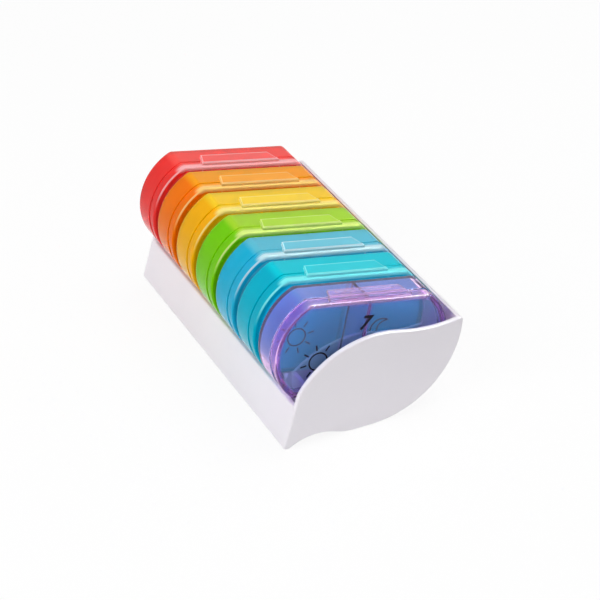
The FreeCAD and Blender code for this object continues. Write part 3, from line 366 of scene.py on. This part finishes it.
def blend(tree, mask, under, over):
    """Two colours mixed by a mask; the one underneath is a colour or a socket."""
    mix = node(tree, "ShaderNodeMix", data_type="RGBA")
    tree.links.new(mask, mix.inputs["Factor"])
    if isinstance(under, tuple):
        mix.inputs["A"].default_value = (*under, 1)
    else:
        tree.links.new(under, mix.inputs["A"])
    mix.inputs["B"].default_value = (*over, 1)
    return mix.outputs["Result"]


def add_flow(tree, place, scale):
    """The melt's streaks on this piece, as a mask."""
    flow = node(tree, "ShaderNodeGroup", node_tree=FLOW)
    flow.inputs["Scale"].default_value = scale
    tree.links.new(place, flow.inputs["Vector"])
    return flow.outputs["Flow"]


def add_grain(tree, shader, place, scale, smooth, dull, bump):
    """A grain that moves the roughness between smooth and dull, and the height a little."""
    grain = node(tree, "ShaderNodeGroup", node_tree=GRAIN)
    grain.inputs["Scale"].default_value = scale
    grain.inputs["Smooth"].default_value = smooth
    grain.inputs["Dull"].default_value = dull
    lift = node(tree, "ShaderNodeBump")
    lift.inputs["Strength"].default_value = bump
    lift.inputs["Distance"].default_value = 0.05 * MM
    tree.links.new(place, grain.inputs["Vector"])
    tree.links.new(grain.outputs["Roughness"], shader.inputs["Roughness"])
    tree.links.new(grain.outputs["Height"], lift.inputs["Height"])
    tree.links.new(lift.outputs["Normal"], shader.inputs["Normal"])


def make_plain(name, thin, thick, flow, **grain):
    """An opaque finish whose colour drifts between two shades."""
    material, tree, shader, place = new_material(name)
    colour = blend(tree, add_flow(tree, place, flow), thin, thick)
    tree.links.new(colour, shader.inputs["Base Color"])
    add_grain(tree, shader, place, **grain)
    return material, shader


def make_tinted(name, top, see_through_light, deep, edge, gloss, clear):
    """Tinted see-through plastic, with painted light: lighter at the flat top and the windows, and painted
    highlights along the lid's lip and tongue.
    """
    material, tree, shader, place = new_material(name)
    depth = node(tree, "ShaderNodeGroup", node_tree=PAINTED_WALL_LIGHT)
    depth.inputs["Share"].default_value = 0.1
    edges = node(tree, "ShaderNodeGroup", node_tree=EDGE_HIGHLIGHTS)
    edges.inputs["Tongue"].default_value = 0.12
    tree.links.new(place, depth.inputs["Vector"])
    tree.links.new(place, edges.inputs["Vector"])
    tree.links.new(add_flow(tree, place, 45.0), depth.inputs["Drift"])
    # painted light: the windows take the colour of the light and the next box seen through one wall, and the
    # flat top a lighter colour, as if more lit
    colour = blend(tree, depth.outputs["Window"], deep, see_through_light)
    colour = blend(tree, depth.outputs["Top"], colour, top)
    # painted highlights: the lid's lip, rim step and tongue outline are mixed toward the pale highlight
    # colour
    colour = blend(tree, edges.outputs["Highlight"], colour, edge)
    tree.links.new(colour, shader.inputs["Base Color"])
    add_grain(tree, shader, place, scale=1500.0, smooth=0.05, dull=0.12, bump=0.05)
    shader.inputs["Transmission Weight"].default_value = clear
    shader.inputs["IOR"].default_value = CLEAR_IOR
    shader.inputs["Specular IOR Level"].default_value = CLEAR_GLOSS
    shader.inputs["Specular Tint"].default_value = (*gloss, 1)
    return material


def make_white():
    """White moulded plastic with a soft gloss; the faint lavender in both its shades is a painted reflection
    of the purple box.
    """
    material, shader = make_plain(
        "white_moulding", (0.87, 0.84, 0.885), (0.84, 0.81, 0.86), 25.0,
        scale=1800.0, smooth=0.28, dull=0.38, bump=0.08,
    )
    shader.inputs["IOR"].default_value = WHITE_IOR
    return material


def make_ink():
    """Printed ink: near black, and a little uneven."""
    material, shader = make_plain(
        "print_ink", (0.002, 0.002, 0.006), (0.005, 0.005, 0.012), 400.0,
        scale=4000.0, smooth=0.6, dull=0.7, bump=0.05,
    )
    shader.inputs["Specular IOR Level"].default_value = INK_GLOSS
    return material


def paint(piece, material):
    """Gives a piece this one material."""
    piece.data.materials.clear()
    piece.data.materials.append(material)


# ---------------------------------------------------------------- printed marks

def face_matrix(day, across, up):
    """Stands a flat drawing on a lid's front face, this far from the middle of the box."""
    low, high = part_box(f"day{day}_lid")
    middle = Vector(((low.x + high.x) / 2, low.y - PRINT_PROUD, BOX_MIDDLE_Z))
    spot = middle + FACE_ACROSS * across + FACE_UP * up
    turn = Matrix((FACE_ACROSS, FACE_UP, FACE_ACROSS.cross(FACE_UP))).transposed()
    return Matrix.Translation(spot) @ turn.to_4x4()


def stroke_arrays(path, half_width, closed):
    """A flat stroke: a rectangle carried along a path in the plane.

    Each ring has four corners: the path's point moved to either side by half the width,
    at the bottom and at the top of the ink. An open stroke is closed by its first and last ring.
    """
    path = np.asarray(path, float)
    ahead = np.roll(path, -1, axis=0) - path
    behind = path - np.roll(path, 1, axis=0)
    if not closed:
        ahead[-1] = behind[-1]
        behind[0] = ahead[0]
    along = ahead + behind
    along /= np.linalg.norm(along, axis=1)[:, None]
    aside = np.stack([-along[:, 1], along[:, 0]], axis=1) * half_width
    left = path + aside
    right = path - aside
    count = len(path)
    low = np.full((count, 1), 0.0)
    high = np.full((count, 1), PRINT_THICK)
    rings = np.stack(
        [np.hstack([left, low]), np.hstack([right, low]), np.hstack([right, high]), np.hstack([left, high])],
        axis=1,
    )
    points = rings.reshape(-1, 3)
    spans = count if closed else count - 1
    start = np.arange(spans)[:, None] * 4
    after = (np.arange(spans)[:, None] + 1) % count * 4
    corner = np.arange(4)[None, :]
    beside = (corner + 1) % 4
    faces = np.stack([start + corner, after + corner, after + beside, start + beside], axis=-1)
    faces = faces.reshape(-1, 4).tolist()
    if not closed:
        last = (count - 1) * 4
        faces += [[0, 1, 2, 3], [last + 3, last + 2, last + 1, last]]
    return points, faces


def join_strokes(strokes):
    """Several strokes as one list of points and faces."""
    points = []
    faces = []
    for stroke_points, stroke_faces in strokes:
        shift = sum(len(group) for group in points)
        points.append(stroke_points)
        faces += [[index + shift for index in face] for face in stroke_faces]
    return np.vstack(points), faces


def make_mesh(name, points, faces, place):
    """A new piece from points and faces, with its place in its mesh."""
    mesh = bpy.data.meshes.new(name)
    mesh.from_pydata(points.tolist(), [], faces)
    mesh.transform(place)
    mesh.validate()
    piece = bpy.data.objects.new(name, mesh)
    bpy.context.scene.collection.objects.link(piece)
    return piece


SUN_SPOT = (-18.3 * MM, -4.5 * MM)
SUN_RADIUS = 3.7 * MM
RAY_START = 4.9 * MM
RAY_END = 7.4 * MM
RAY_COUNT = 8
RAY_SKEW = 0.35
STROKE = 0.3 * MM
MOON_RADIUS = 4.6 * MM
MOON_BITE = 3.9 * MM
MOON_SHIFT = 2.2 * MM
DIGIT_SIZE = 8.4 * MM
DIGIT_SPOT = (-1.6 * MM, 10.2 * MM)
DIGIT_SHEAR = 0.25
DIGIT_BOLD = 0.2 * MM


def sun_strokes():
    """A ring, and straight rays round it at equal turns."""
    turns = np.linspace(0, 2 * np.pi, 64, endpoint=False)
    ring = np.stack([np.cos(turns), np.sin(turns)], axis=1) * SUN_RADIUS
    strokes = [stroke_arrays(ring, STROKE, closed=True)]
    for turn in (np.arange(RAY_COUNT) + RAY_SKEW) * 2 * np.pi / RAY_COUNT:
        way = np.array([np.cos(turn), np.sin(turn)])
        strokes.append(stroke_arrays([way * RAY_START, way * RAY_END], STROKE, closed=False))
    return join_strokes(strokes)


def moon_strokes():
    """A crescent's outline: a circle's far arc, and back along a smaller circle set to one side."""
    cross = (MOON_RADIUS ** 2 - MOON_BITE ** 2 + MOON_SHIFT ** 2) / (2 * MOON_SHIFT)
    outer_turn = math.acos(cross / MOON_RADIUS)
    inner_turn = math.acos((cross - MOON_SHIFT) / MOON_BITE)
    outer = np.linspace(outer_turn, 2 * np.pi - outer_turn, 48)
    inner = np.linspace(2 * np.pi - inner_turn, inner_turn, 40)[1:-1]
    far = np.stack([np.cos(outer), np.sin(outer)], axis=1) * MOON_RADIUS
    near = np.stack([np.cos(inner), np.sin(inner)], axis=1) * MOON_BITE + np.array([MOON_SHIFT, 0])
    return stroke_arrays(np.vstack([far, near]), STROKE, closed=True)


def finish_mark(piece, day, ink):
    """Inks a mark, which rides on its box."""
    paint(piece, ink)
    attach(piece, f"day{day}_box")


def make_digit(day, ink):
    """The day's number, leaning a little, as a thin flat mesh."""
    curve = bpy.data.curves.new(f"day{day}_digit", "FONT")
    curve.body = str(day)
    curve.size = DIGIT_SIZE
    curve.shear = DIGIT_SHEAR
    curve.extrude = PRINT_THICK / 2
    curve.offset = DIGIT_BOLD
    curve.align_x = "CENTER"
    curve.align_y = "CENTER"
    source = bpy.data.objects.new("digit_source", curve)
    bpy.context.scene.collection.objects.link(source)
    bpy.context.view_layer.update()
    mesh = bpy.data.meshes.new_from_object(source)
    bpy.data.objects.remove(source)
    mesh.transform(face_matrix(day, *DIGIT_SPOT))
    piece = bpy.data.objects.new(f"day{day}_number", mesh)
    bpy.context.scene.collection.objects.link(piece)
    finish_mark(piece, day, ink)


def make_marks(day, ink):
    """The sun and the moon of one lid."""
    across, up = SUN_SPOT
    marks = {"sun": (sun_strokes(), across), "moon": (moon_strokes(), -across)}
    for name, ((points, faces), spot) in marks.items():
        piece = make_mesh(f"day{day}_{name}", points, faces, face_matrix(day, spot, up))
        finish_mark(piece, day, ink)


# ---------------------------------------------------------------- stage

def rays_that_see(tree):
    """A mask that is 1 for camera, glossy and transmission rays."""
    path = node(tree, "ShaderNodeLightPath")
    kinds = ("Is Camera Ray", "Is Glossy Ray", "Is Transmission Ray")
    return either(tree, *(path.outputs[kind] for kind in kinds))


def make_floor():
    """A wide pale floor that shows nearly white, and keeps a faint shadow."""
    bpy.ops.mesh.primitive_plane_add(size=FLOOR_SIZE, location=(0, 0, 0))
    floor = bpy.context.object
    floor.name = "floor"
    material, shader = make_plain(
        "floor_paper", (0.9, 0.9, 0.9), (0.88, 0.88, 0.88), 6.0,
        scale=300.0, smooth=0.6, dull=0.7, bump=0.02,
    )
    tree = material.node_tree
    glow = node(tree, "ShaderNodeEmission")
    glow.inputs["Color"].default_value = (1, 1, 1, 1)
    mix = node(tree, "ShaderNodeMixShader")
    tree.links.new(calc(tree, "MULTIPLY", rays_that_see(tree), FLOOR_GLOW), mix.inputs["Fac"])
    tree.links.new(shader.outputs["BSDF"], mix.inputs[1])
    tree.links.new(glow.outputs["Emission"], mix.inputs[2])
    tree.links.new(mix.outputs[0], tree.nodes["Material Output"].inputs["Surface"])
    paint(floor, material)


def make_world():
    """White for what the camera, gloss and clear plastic see; softer for the fill light."""
    world = bpy.data.worlds.new("studio")
    world.use_nodes = True
    tree = world.node_tree
    background = tree.nodes["Background"]
    background.inputs["Color"].default_value = (1, 1, 1, 1)
    level = node(tree, "ShaderNodeMapRange")
    level.inputs["To Min"].default_value = FILL_LEVEL
    level.inputs["To Max"].default_value = SEEN_LEVEL
    tree.links.new(rays_that_see(tree), level.inputs["Value"])
    tree.links.new(level.outputs["Result"], background.inputs["Strength"])
    bpy.context.scene.world = world


def add_lamp(name, spot, target, side, watts, glossy_only):
    """A square lamp that the camera doesn't see, seen by gloss alone or by all but gloss."""
    lamp = bpy.data.lights.new(name, "AREA")
    lamp.shape = "SQUARE"
    lamp.size = side
    lamp.energy = watts
    holder = bpy.data.objects.new(name, lamp)
    holder.location = spot
    holder.rotation_euler = (Vector(target) - Vector(spot)).to_track_quat("-Z", "Y").to_euler()
    holder.visible_camera = False
    if glossy_only:
        holder.visible_diffuse = False
        holder.visible_transmission = False
    else:
        holder.visible_glossy = False
    bpy.context.scene.collection.objects.link(holder)


def make_camera():
    """The camera looks at its target from an azimuth, an elevation and a distance."""
    azimuth = math.radians(CAMERA_AZIMUTH)
    elevation = math.radians(CAMERA_ELEVATION)
    back = Vector(
        (
            math.sin(azimuth) * math.cos(elevation),
            -math.cos(azimuth) * math.cos(elevation),
            math.sin(elevation),
        )
    )
    camera = bpy.data.cameras.new("camera")
    camera.lens = CAMERA_LENS
    holder = bpy.data.objects.new("camera", camera)
    holder.location = CAMERA_TARGET + back * CAMERA_DISTANCE
    holder.rotation_euler = (-back).to_track_quat("-Z", "Y").to_euler()
    bpy.context.scene.collection.objects.link(holder)
    bpy.context.scene.camera = holder


# ---------------------------------------------------------------- everything

make_camera()
make_world()
make_floor()
for lamp in LAMPS:
    add_lamp(*lamp)

white = make_white()
for name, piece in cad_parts.items():
    if not name.startswith("day"):
        paint(piece, white)
ink = make_ink()
for day in DAYS:
    tint = make_tinted(**TINTS[day])
    for kind in ("case", "lid"):
        paint(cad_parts[f"day{day}_{kind}"], tint)
    make_marks(day, ink)
    make_digit(day, ink)

bpy.context.scene.view_settings.view_transform = "Standard"
